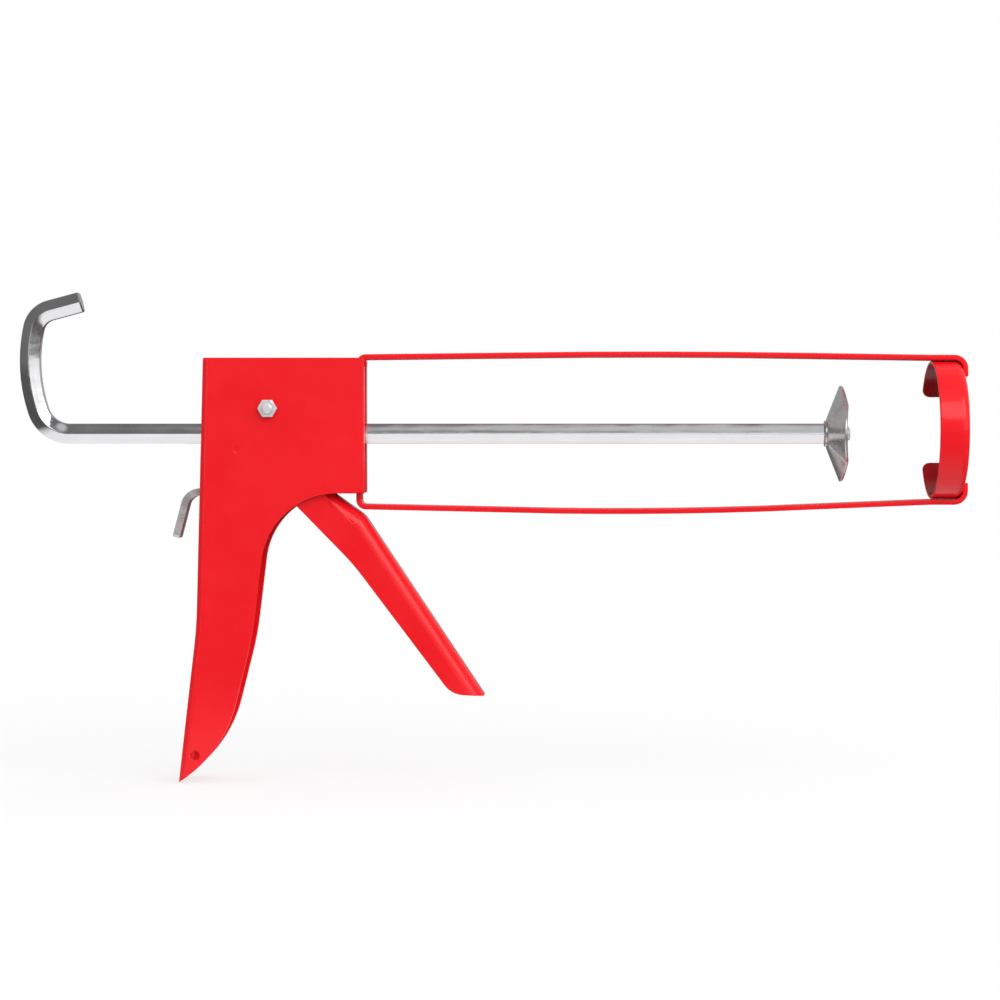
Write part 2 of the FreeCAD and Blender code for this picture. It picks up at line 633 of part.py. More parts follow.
def plunger_plate():
    """Pressed dish with four flutes; its wavy skirt presses on the cartridge bottom."""
    skirt_x = PLUNGER_X + PLUNGER_DISH_DEPTH
    rim_x = skirt_x + PLUNGER_SKIRT
    outer_rings = [
        lobed_ring(PLUNGER_X, PLUNGER_FLOOR_R, 0.0),
        lobed_ring(skirt_x, PLUNGER_R, PLUNGER_LOBE),
        lobed_ring(rim_x, PLUNGER_R + PLUNGER_FLARE, PLUNGER_LOBE),
    ]
    step = plunger_sheet_step()
    slope = PLUNGER_SLOPE
    inner_r = PLUNGER_R - PLUNGER_SHEET
    over = 1.0
    inner_rings = [
        lobed_ring(PLUNGER_X + step, PLUNGER_FLOOR_R, 0.0),
        lobed_ring(skirt_x + step - slope * PLUNGER_SHEET, inner_r, PLUNGER_LOBE),
        lobed_ring(rim_x + over, inner_r + PLUNGER_FLARE, PLUNGER_LOBE),
    ]
    plate = Part.makeLoft(outer_rings, True, True).cut(Part.makeLoft(inner_rings, True, True))
    for i in range(PLUNGER_LOBES):
        angle = math.radians(360.0 / PLUNGER_LOBES * i)
        along = V(0.0, math.sin(angle), math.cos(angle))
        start = V(skirt_x + PLUNGER_NOTCH_R + PLUNGER_PETAL_SKIRT, 0.0, 0.0) + along * (PLUNGER_FLOOR_R + 3.0)
        plate = plate.cut(Part.makeCylinder(PLUNGER_NOTCH_R, PLUNGER_R + 5.0, start, along))
    return plate.cut(rod_x(STUD_R, PLUNGER_X - 5.0, rim_x + 5.0))


def plunger_washer():
    """Round washer between the rod shoulder and the back of the plunger."""
    disc = rod_x(PLUNGER_FLOOR_R, ROD_FRONT_X, PLUNGER_X)
    return disc.cut(rod_x(STUD_R, ROD_FRONT_X - 1.0, PLUNGER_X + 1.0))


def plunger_nut():
    """Hexagon nut that clamps the plunger on the stud."""
    seat_x = PLUNGER_X + plunger_sheet_step()
    nut = hex_x(PLUNGER_NUT_AF, seat_x, seat_x + PLUNGER_NUT_T)
    rim_r = PLUNGER_NUT_AF / 2.0
    reach = PLUNGER_NUT_T + 2.0 * rim_r
    cone = Part.makeCone(rim_r + 2.0 * reach, rim_r, reach,
                         V(seat_x + PLUNGER_NUT_T - reach, 0.0, 0.0), V(1.0, 0.0, 0.0))
    nut = nut.common(cone)
    return nut.cut(rod_x(STUD_R, seat_x - 1.0, seat_x + PLUNGER_NUT_T + 1.0))


# ---- plates and springs ---------------------------------------------------------------
def drive_plate():
    """T-shaped plate: the trigger noses push its wide head, the rod runs through its stem."""
    low = box(DRIVE_REAR_X, DRIVE_FRONT_X, -PLATE_WIDTH / 2.0, PLATE_WIDTH / 2.0, DRIVE_BOTTOM_Z, DRIVE_TOP_Z)
    head_half = HOUSING_INNER / 2.0 - DRIVE_SIDE_RUN
    head = box(DRIVE_REAR_X, DRIVE_FRONT_X, -head_half, head_half, DRIVE_HEAD_Z, DRIVE_TOP_Z)
    plate = low.fuse(head).removeSplitter()
    corners = [e for e in plate.Edges if abs(e.Length - DRIVE_T) < 0.001]
    plate = plate.makeFillet(PLATE_CORNER_R, corners)
    return plate.cut(hex_x(ROD_AF + 2.0 * DRIVE_HOLE_RUN, DRIVE_REAR_X - 1.0, DRIVE_FRONT_X + 1.0))


def brake_lever():
    """Brake plate on the rod and the release tail that passes out through the spine."""
    half_t = BRAKE_T / 2.0
    lean = math.radians(BRAKE_TILT)
    middle_x = BRAKE_FULCRUM_X + half_t * math.cos(lean)
    middle_z = BRAKE_FULCRUM_Z + half_t * math.sin(lean)
    bend_x = middle_x - BRAKE_SLOPE * (middle_z - TAIL_EXIT_Z)
    top = (middle_x + BRAKE_SLOPE * BRAKE_TOP_RISE, middle_z + BRAKE_TOP_RISE, 0.0)
    run = [
        top,
        (bend_x, TAIL_EXIT_Z, 3.0),
        (TAIL_BEND_X, TAIL_EXIT_Z - 0.9, 6.0),
        (TAIL_END_X, TAIL_END_Z, 0.0),
    ]
    lever = bent_strip(run, BRAKE_T, PLATE_WIDTH)
    half_tail = TAIL_WIDTH / 2.0
    for side in (-1.0, 1.0):
        y0 = side * half_tail
        y1 = side * (PLATE_WIDTH / 2.0 + 1.0)
        trim = box(-90.0, -40.0, min(y0, y1), max(y0, y1), -60.0, BRAKE_NECK_Z)
        lever = lever.cut(trim)
    hole = hex_x(ROD_AF + 2.0 * BRAKE_HOLE_RUN, -8.0, 8.0)
    hole.rotate(V(0.0, 0.0, 0.0), V(0.0, 1.0, 0.0), -BRAKE_TILT)
    hole.translate(V(BRAKE_FACE_X - half_t, 0.0, 0.0))
    lever = lever.cut(hole)
    end_edges = [e for e in lever.Edges if abs(e.Length - BRAKE_T) < 0.01
                 and (e.CenterOfMass.z < TAIL_END_Z + 1.0 or e.CenterOfMass.z > BRAKE_FULCRUM_Z)]
    return lever.makeFillet(PLATE_CORNER_R, end_edges)


def coil_spring(rear_x, front_x, coil_r, wire_r, turns):
    """Compression spring about the rod with one closed turn at each end."""
    closed_pitch = 2.0 * wire_r + 0.15
    start_x = rear_x + wire_r
    active = front_x - rear_x - 2.0 * wire_r - 2.0 * closed_pitch
    open_pitch = active / (turns - 2.0)
    per_turn = 16
    points = []
    for i in range(turns * per_turn + 1):
        turn = float(i) / per_turn
        rise = closed_pitch * min(turn, 1.0)
        rise += open_pitch * min(max(turn - 1.0, 0.0), turns - 2.0)
        rise += closed_pitch * max(turn - (turns - 1.0), 0.0)
        angle = 2.0 * math.pi * turn
        points.append(V(start_x + rise, coil_r * math.cos(angle), coil_r * math.sin(angle)))
    curve = Part.BSplineCurve()
    curve.interpolate(points)
    path = Part.Wire(curve.toShape())
    heading = curve.tangent(curve.FirstParameter)[0]
    ring = Part.Wire(Part.makeCircle(wire_r, points[0], heading))
    return path.makePipeShell([ring], True, True)


def drive_spring():
    return coil_spring(DRIVE_FRONT_X, WEB_REAR_X, DRIVE_SPRING_R, DRIVE_SPRING_WIRE_R, DRIVE_SPRING_TURNS)


def brake_spring():
    rear_x = BRAKE_FACE_X + BRAKE_SPRING_GAP
    return coil_spring(rear_x, DRIVE_REAR_X, BRAKE_SPRING_R, BRAKE_SPRING_WIRE_R, BRAKE_SPRING_TURNS)


PIECES = (
    handle_housing,
    cradle_strap,
    front_cup,
    push_rod,
    plunger_plate,
    plunger_washer,
    plunger_nut,
    trigger,
    pivot_bolt,
    pivot_nut,
    pivot_sleeve,
    drive_plate,
    drive_spring,
    brake_lever,
    brake_spring,
)

os.makedirs("parts", exist_ok=True)
for piece in PIECES:
    shape = piece()
    solids = len(shape.Solids)
    print(piece.__name__, "solids", solids, "valid", shape.isValid(), "volume", round(shape.Volume, 1))
    shape.exportStep("parts/" + piece.__name__ + ".step")
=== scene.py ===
"""Looks, light and camera for the strap-frame caulking gun."""
import logging
import math
from dataclasses import dataclass
from enum import Enum

import bmesh
import bpy
from mathutils import Matrix, Vector
from mathutils.bvhtree import BVHTree


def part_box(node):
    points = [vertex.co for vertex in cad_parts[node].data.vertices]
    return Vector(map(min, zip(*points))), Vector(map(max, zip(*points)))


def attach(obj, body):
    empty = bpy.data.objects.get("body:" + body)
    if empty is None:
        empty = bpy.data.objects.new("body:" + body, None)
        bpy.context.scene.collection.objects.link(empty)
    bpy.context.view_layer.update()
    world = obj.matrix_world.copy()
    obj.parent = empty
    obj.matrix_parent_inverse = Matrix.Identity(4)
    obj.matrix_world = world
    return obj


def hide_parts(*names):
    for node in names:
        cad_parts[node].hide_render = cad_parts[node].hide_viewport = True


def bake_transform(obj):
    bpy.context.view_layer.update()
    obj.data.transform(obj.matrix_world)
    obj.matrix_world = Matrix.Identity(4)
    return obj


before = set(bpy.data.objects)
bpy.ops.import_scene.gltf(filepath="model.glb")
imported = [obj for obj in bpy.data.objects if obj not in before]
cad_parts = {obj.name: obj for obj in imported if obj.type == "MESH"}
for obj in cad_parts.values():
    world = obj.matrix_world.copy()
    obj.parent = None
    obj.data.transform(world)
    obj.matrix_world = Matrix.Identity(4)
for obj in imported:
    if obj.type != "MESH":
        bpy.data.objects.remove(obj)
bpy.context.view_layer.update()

LOG = logging.getLogger("caulking_gun")
MM = 0.001
WELD_REACH = 2e-6
FLAT_ANGLE = math.radians(0.4)
SLIVER_LENGTH = 0.06 * MM
ROUNDED_ANGLE = math.radians(38.0)
SHADED_ANGLE = math.radians(32.0)
STRAY_SHARE = 0.42


class Body(Enum):
    """Bodies of the gun that move against each other."""

    FRAME = "frame"
    TRIGGER = "trigger"
    DRIVE = "drive"
    BRAKE = "brake"
    ROD = "rod"


class Slot(Enum):
    """Material slot names."""

    ENAMEL = "red_enamel"
    ZINC = "bright_zinc"
    PRESSED = "pressed_steel"
    PLATE = "plate_steel"
    SPRING = "spring_steel"


# ---- finishes -----------------------------------------------------------------
class Bench:
    """A material under construction, with short calls for the nodes it needs."""

    def __init__(self, name: str) -> None:
        """Start a material with one principled shader.

        Args:
            name: name of the material.
        """
        self.material = bpy.data.materials.new(name)
        self.material.use_nodes = True
        self.tree = self.material.node_tree
        self.shader = self.tree.nodes["Principled BSDF"]
        self.place = self.node("ShaderNodeTexCoord").outputs["Object"]

    def node(self, kind: str) -> bpy.types.Node:
        """Add a node of one kind."""
        return self.tree.nodes.new(kind)

    def link(self, source: bpy.types.NodeSocket, target: bpy.types.NodeSocket) -> None:
        """Join one output to one input."""
        self.tree.links.new(source, target)

    def set(self, socket: str, value: object) -> None:
        """Set one of the shader's own values."""
        self.shader.inputs[socket].default_value = value

    def stretched(self, scale: tuple[float, float, float], source: bpy.types.NodeSocket | None = None
                  ) -> bpy.types.NodeSocket:
        """Coordinates scaled differently along each axis.

        Args:
            scale: factor along X, Y and Z.
            source: coordinates to scale, the object's own when left out.

        Returns:
            The scaled coordinates.
        """
        mapping = self.node("ShaderNodeMapping")
        mapping.inputs["Scale"].default_value = scale
        self.link(source or self.place, mapping.inputs["Vector"])
        return mapping.outputs["Vector"]

    def noise(self, vector: bpy.types.NodeSocket, scale: float, detail: float = 3.0,
              rough: float = 0.55) -> bpy.types.NodeSocket:
        """Soft random values over the surface.

        Args:
            vector: coordinates to read.
            scale: features per metre.
            detail: number of finer layers.
            rough: strength of the finer layers.

        Returns:
            Values from 0 to 1.
        """
        noise = self.node("ShaderNodeTexNoise")
        noise.inputs["Scale"].default_value = scale
        noise.inputs["Detail"].default_value = detail
        noise.inputs["Roughness"].default_value = rough
        self.link(vector, noise.inputs["Vector"])
        return noise.outputs["Fac"]

    def spread(self, value: bpy.types.NodeSocket, low: float, high: float, to_low: float,
               to_high: float) -> bpy.types.NodeSocket:
        """Map a range of values onto another, held at its ends.

        Args:
            value: values to map.
            low: value that becomes to_low.
            high: value that becomes to_high.
            to_low: first result.
            to_high: last result.

        Returns:
            The mapped values.
        """
        ramp = self.node("ShaderNodeMapRange")
        for name, number in zip(("From Min", "From Max", "To Min", "To Max"), (low, high, to_low, to_high)):
            ramp.inputs[name].default_value = number
        self.link(value, ramp.inputs["Value"])
        return ramp.outputs["Result"]

    def share(self, value: bpy.types.NodeSocket, low: float, high: float) -> bpy.types.NodeSocket:
        """Stretch the values between two marks to the range 0 to 1."""
        return self.spread(value, low, high, 0.0, 1.0)

    def blend_colour(self, share: bpy.types.NodeSocket, first: tuple, second: tuple) -> bpy.types.NodeSocket:
        """Mix two colours by a share of 0 to 1.

        Args:
            share: how much of the second colour shows.
            first: red, green and blue of the first colour.
            second: red, green and blue of the second colour.

        Returns:
            The mixed colour.
        """
        mix = self.node("ShaderNodeMix")
        mix.data_type = "RGBA"
        mix.inputs["A"].default_value = (*first, 1.0)
        mix.inputs["B"].default_value = (*second, 1.0)
        self.link(share, mix.inputs["Factor"])
        return mix.outputs["Result"]

    def relief(self, height: bpy.types.NodeSocket, strength: float, depth: float,
               below: bpy.types.NodeSocket | None = None) -> bpy.types.NodeSocket:
        """Fine relief in the surface.

        Args:
            height: relief height, 0 to 1.
            strength: share of the full effect.
            depth: height of the relief in metres.
            below: relief that this one lies on.

        Returns:
            The surface normal.
        """
        bump = self.node("ShaderNodeBump")
        bump.inputs["Strength"].default_value = strength
        bump.inputs["Distance"].default_value = depth
        self.link(height, bump.inputs["Height"])
        if below is not None:
            self.link(below, bump.inputs["Normal"])
        return bump.outputs["Normal"]

    def multiply(self, first: bpy.types.NodeSocket, second: bpy.types.NodeSocket) -> bpy.types.NodeSocket:
        """Product of two sets of values.

        Args:
            first: one set.
            second: the other set.

        Returns:
            The products.
        """
        product = self.node("ShaderNodeMath")
        product.operation = "MULTIPLY"
        self.link(first, product.inputs[0])
        self.link(second, product.inputs[1])
        return product.outputs[0]


@dataclass(frozen=True)
class Enamel:
    """Glossy stoved enamel over sheet steel.

    Scales are features per metre, and depths are metres.
    """

    name: str = "red_enamel"
    deep: tuple[float, float, float] = (0.76, 0.0055, 0.0105)
    fresh: tuple[float, float, float] = (0.82, 0.0085, 0.0150)
    polish: float = 0.17
    dull: float = 0.26
    cloud_scale: float = 26.0
    haze_scale: float = 85.0
    peel_scale: float = 620.0
    peel_strength: float = 0.16
    peel_depth: float = 0.05 * MM
    dust_scale: float = 3600.0
    dust_strength: float = 0.12
    dust_depth: float = 0.04 * MM
    refraction: float = 1.5
    specular: float = 0.36

    def build(self) -> bpy.types.Material:
        """Make the enamel with slight colour drift, orange peel and handling haze.

        Returns:
            The finish.
        """
        bench = Bench(self.name)
        cloud = bench.noise(bench.place, self.cloud_scale, detail=4.0)
        colour = bench.blend_colour(bench.share(cloud, low=0.3, high=0.7), self.deep, self.fresh)
        bench.link(colour, bench.shader.inputs["Base Color"])
        haze = bench.noise(bench.place, self.haze_scale, detail=6.0, rough=0.65)
        hazed = bench.spread(haze, 0.35, 0.72, self.polish, self.dull)
        bench.link(hazed, bench.shader.inputs["Roughness"])
        peel = bench.noise(bench.place, self.peel_scale, detail=2.0, rough=0.4)
        waves = bench.relief(peel, self.peel_strength, self.peel_depth)
        dust = bench.noise(bench.place, self.dust_scale, detail=1.0, rough=0.3)
        specks = bench.share(dust, low=0.70, high=0.78)
        dusted = bench.relief(specks, self.dust_strength, self.dust_depth, waves)
        bench.link(dusted, bench.shader.inputs["Normal"])
        bench.set("IOR", self.refraction)
        bench.set("Specular IOR Level", self.specular)
        return bench.material


@dataclass(frozen=True)
class Drawn:
    """Bright plated bar with fine drawing lines along one axis.

    Scales are features per metre, and depths are metres.
    """

    name: str
    light: tuple[float, float, float]
    dark: tuple[float, float, float]
    smooth: float
    worn: float
    along: tuple[float, float, float] = (14.0, 700.0, 700.0)
    uses_map: bool = False
    waviness: float = 0.0
    metal: float = 1.0
    stain_scale: float = 46.0
    wave_stretch: tuple[float, float, float] = (1.0, 3.0, 3.0)
    wave_scale: float = 38.0
    wave_depth: float = 0.6 * MM
    groove_strength: float = 0.16
    groove_depth: float = 0.03 * MM
    nick_scale: float = 1500.0
    nick_strength: float = 0.25
    nick_depth: float = 0.05 * MM

    def build(self) -> bpy.types.Material:
        """Make the metal with drawing lines, faint stains and small nicks.

        Returns:
            The finish.
        """
        bench = Bench(self.name)
        source = bench.node("ShaderNodeTexCoord").outputs["UV"] if self.uses_map else None
        lines = bench.noise(bench.stretched(self.along, source), 1.0, detail=5.0, rough=0.6)
        stains = bench.noise(bench.place, self.stain_scale, detail=5.0, rough=0.6)
        wavy = bench.noise(bench.stretched(self.wave_stretch), self.wave_scale, detail=2.0, rough=0.5)
        waves = bench.relief(wavy, self.waviness, self.wave_depth)
        bright_lines = bench.spread(lines, 0.35, 0.65, 0.35, 1.0)
        clean = bench.spread(stains, 0.3, 0.7, 0.4, 1.0)
        colour = bench.blend_colour(bench.multiply(bright_lines, clean), self.dark, self.light)
        bench.link(colour, bench.shader.inputs["Base Color"])
        wear = bench.spread(stains, 0.35, 0.75, self.smooth, self.worn)
        bench.link(wear, bench.shader.inputs["Roughness"])
        grooves = bench.relief(lines, self.groove_strength, self.groove_depth, waves)
        pits = bench.noise(bench.place, self.nick_scale, detail=2.0, rough=0.5)
        nicks = bench.share(pits, low=0.68, high=0.76)
        nicked = bench.relief(nicks, self.nick_strength, self.nick_depth, grooves)
        bench.link(nicked, bench.shader.inputs["Normal"])
        bench.set("Metallic", self.metal)
        return bench.material


@dataclass(frozen=True)
class Pressed:
    """Grey plated sheet with a fine-grained, slightly uneven face.

    Scales are features per metre, and depths are metres.
    """

    name: str
    light: tuple[float, float, float]
    dark: tuple[float, float, float]
    smooth: float
    worn: float
    grain_scale: float = 2700.0
    metal: float = 1.0
    grain_strength: float = 0.2
    grain_depth: float = 0.03 * MM
    mottle_scale: float = 180.0
    ripple_scale: float = 240.0
    ripple_strength: float = 0.25
    ripple_depth: float = 0.12 * MM

    def build(self) -> bpy.types.Material:
        """Make the metal with mottling, grain and shallow press ripples.

        Returns:
            The finish.
        """
        bench = Bench(self.name)
        mottle = bench.noise(bench.place, self.mottle_scale, detail=6.0, rough=0.68)
        colour = bench.blend_colour(bench.share(mottle, low=0.3, high=0.72), self.dark, self.light)
        bench.link(colour, bench.shader.inputs["Base Color"])
        wear = bench.spread(mottle, 0.3, 0.7, self.smooth, self.worn)
        bench.link(wear, bench.shader.inputs["Roughness"])
        pressed = bench.noise(bench.place, self.ripple_scale, detail=2.0, rough=0.4)
        ripples = bench.relief(pressed, self.ripple_strength, self.ripple_depth)
        grain = bench.noise(bench.place, self.grain_scale, detail=3.0, rough=0.6)
        grained = bench.relief(grain, self.grain_strength, self.grain_depth, ripples)
        bench.link(grained, bench.shader.inputs["Normal"])
        bench.set("Metallic", self.metal)
        return bench.material


class Paintshop:
    """Every finish of the gun, built once."""

    def __init__(self) -> None:
        """Build the finishes."""
        self.enamel = Enamel().build()
        # Dark copy of the enamel that paints shade into the cup's hollow; it stands for shade, not for a
        # thinner coat.
        self.painted_shade_enamel = Enamel("painted_shade_red_enamel", deep=(0.25, 0.0055, 0.0075),
                                  fresh=(0.29, 0.0065, 0.0085)).build()
        self.rod = Drawn("bright_drawn_zinc", light=(0.91, 0.91, 0.93), dark=(0.78, 0.78, 0.80),
                         smooth=0.10, worn=0.20, along=(3.0, 90.0, 1.0), uses_map=True, waviness=0.55).build()
        self.fastener = Drawn("bright_turned_zinc", light=(0.88, 0.88, 0.89), dark=(0.66, 0.66, 0.68),
                              smooth=0.20, worn=0.34, along=(500.0, 60.0, 500.0), metal=0.35).build()
        self.plunger = Pressed("grey_pressed_zinc", light=(0.70, 0.70, 0.69), dark=(0.50, 0.51, 0.51),
                               smooth=0.20, worn=0.32, metal=0.8).build()
        self.plate = Pressed("dull_plate_steel", light=(0.42, 0.42, 0.43), dark=(0.26, 0.26, 0.27),
                             smooth=0.32, worn=0.50).build()
        self.release = Pressed("scuffed_lever_steel", light=(0.76, 0.75, 0.76), dark=(0.42, 0.41, 0.42),
                               smooth=0.20, worn=0.38, grain_scale=1260.0, metal=0.5).build()
        self.wire = Drawn("spring_wire", light=(0.55, 0.55, 0.57), dark=(0.34, 0.34, 0.36),
                          smooth=0.24, worn=0.38, along=(60.0, 60.0, 60.0)).build()


# ---- shared shaping -------------------------------------------------------------
def new_piece(name: str, verts: list, faces: list, material: bpy.types.Material, body: Body
              ) -> bpy.types.Object:
    """Make one visible piece from corners and faces.

    Args:
        name: name of the piece.
        verts: corner places in metres.
        faces: corner numbers of each face.
        material: finish of the piece.
        body: body that the piece rides on.

    Returns:
        The new piece.
    """
    mesh = bpy.data.meshes.new(name)
    mesh.from_pydata([tuple(v) for v in verts], [], faces)
    mesh.validate()
    return finish_piece(name, mesh, material, body)


def finish_piece(name: str, mesh: bpy.types.Mesh, material: bpy.types.Material, body: Body | None
                 ) -> bpy.types.Object:
    """Turn a mesh into a piece with its finish, smooth faces and body.

    Args:
        name: name of the piece.
        mesh: the shape.
        material: finish of the piece.
        body: body that the piece rides on, or None for a piece that blends.

    Returns:
        The new piece.
    """
    work = bmesh.new()
    work.from_mesh(mesh)
    bmesh.ops.recalc_face_normals(work, faces=work.faces[:])
    work.to_mesh(mesh)
    work.free()
    piece = bpy.data.objects.new(name, mesh)
    bpy.context.scene.collection.objects.link(piece)
    mesh.materials.clear()
    mesh.materials.append(material)
    mesh.shade_smooth()
    mesh.set_sharp_from_angle(angle=SHADED_ANGLE)
    if body is not None:
        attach(piece, body.value)
    return piece


def rounded_copy(node: str, name: str, width: float, material: bpy.types.Material, body: Body,
                 segments: int = 3) -> bpy.types.Object:
    """Stand-in for a sheet or plate node with its sharp edges rounded.

    Args:
        node: node that the piece stands for.
        name: name of the piece.
        width: width of the rounding in metres.
        material: finish of the piece.
        body: body that the piece rides on.
        segments: steps across the rounding.

    Returns:
        The new piece.
    """
    work = bmesh.new()
    work.from_mesh(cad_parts[node].data)
    bmesh.ops.remove_doubles(work, verts=work.verts[:], dist=WELD_REACH)
    surface = BVHTree.FromBMesh(work)
    bmesh.ops.dissolve_limit(work, angle_limit=FLAT_ANGLE, verts=work.verts[:], edges=work.edges[:])
    bmesh.ops.dissolve_degenerate(work, dist=SLIVER_LENGTH, edges=work.edges[:])
    sharp = [e for e in work.edges if len(e.link_faces) == 2 and e.calc_face_angle() > ROUNDED_ANGLE]
    bmesh.ops.bevel(work, geom=sharp, offset=width, offset_type="OFFSET", segments=segments, profile=0.5,
                    affect="EDGES", clamp_overlap=False, loop_slide=True)
    for vert in work.verts:
        nearest, _, _, distance = surface.find_nearest(vert.co)
        if distance > STRAY_SHARE * width:
            vert.co = nearest
    bmesh.ops.triangulate(work, faces=[f for f in work.faces if len(f.verts) > 4])
    mesh = bpy.data.meshes.new(name)
    work.to_mesh(mesh)
    work.free()
    piece = finish_piece(name, mesh, material, body)
    soften = piece.modifiers.new("even shading", "WEIGHTED_NORMAL")
    soften.keep_sharp = True
    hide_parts(node)
    return piece


def dress(node: str, material: bpy.types.Material) -> bpy.types.Object:
    """Give a node that keeps its own shape its finish.

    Args:
        node: node to dress.
        material: the finish.

    Returns:
        The node's piece.
    """
    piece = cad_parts[node]
    piece.data.materials.clear()
    piece.data.materials.append(material)
    return piece


def ring_faces(rings: int, around: int, capped: bool = True) -> list[tuple[int, ...]]:
    """Faces of a skin stretched over equal rings of corners.

    Args:
        rings: number of rings.
        around: corners in each ring.
        capped: whether the first and last ring are closed.

    Returns:
        Corner numbers of each face.
    """
    faces = []
    for r in range(rings - 1):
        for i in range(around):
            j = (i + 1) % around
            faces.append((r * around + i, r * around + j, (r + 1) * around + j, (r + 1) * around + i))
    if capped:
        faces.append(tuple(range(around)))
        faces.append(tuple(range((rings - 1) * around, rings * around)))
    return faces


# ---- sub-assemblies ---------------------------------------------------------------
@dataclass
class HandleAndCradle:
    """Folded handle housing, cradle strap and front cup, all enamelled.

    The facing values are the least share of a face's direction that points to the cup's axis or to its rear.
    """

    shop: Paintshop
    sheet_round: float = 0.38 * MM
    strap_round: float = 0.45 * MM
    cup_round: float = 0.18 * MM
    cup_axis_z: float = 1.4 * MM
    cup_bore: float = 24.75 * MM
    facing_axis: float = 0.3
    facing_rear: float = 0.7

    def build(self) -> list[bpy.types.Object]:
        """Make the three enamelled pieces.

        Returns:
            The pieces.
        """
        enamel = self.shop.enamel
        cup = rounded_copy("front_cup", "cup_shell", self.cup_round, enamel, Body.FRAME)
        # Painted shade: the cup's inner faces get the dark enamel copy.
        self.paint_shade_inside(cup)
        return [
            rounded_copy("handle_housing", "housing_shell", self.sheet_round, enamel, Body.FRAME),
            rounded_copy("cradle_strap", "strap_band", self.strap_round, enamel, Body.FRAME),
            cup,
        ]

    def paint_shade_inside(self, cup: bpy.types.Object) -> None:
        """Paint shade into the hollow of the cup: faces that look toward its axis or its rear take a darker
        copy of the enamel, which is painted shade rather than a real coat.

        Args:
            cup: the cup's piece.
        """
        # Painted shade: faces in the bore that look toward the axis or to the rear take the dark copy.
        cup.data.materials.append(self.shop.painted_shade_enamel)
        for face in cup.data.polygons:
            inward = Vector((0.0, -face.center.y, self.cup_axis_z - face.center.z))
            faces_axis = face.normal.dot(inward.normalized()) > self.facing_axis
            faces_rear = -face.normal.x > self.facing_rear
            if inward.length < self.cup_bore and (faces_axis or faces_rear):
                face.material_index = 1


@dataclass
class TriggerLever:
    """Folded trigger channel."""

    shop: Paintshop
    edge_round: float = 0.38 * MM

    def build(self) -> list[bpy.types.Object]:
        """Make the trigger."""
        return [rounded_copy("trigger", "trigger_channel", self.edge_round, self.shop.enamel,
                             Body.TRIGGER)]


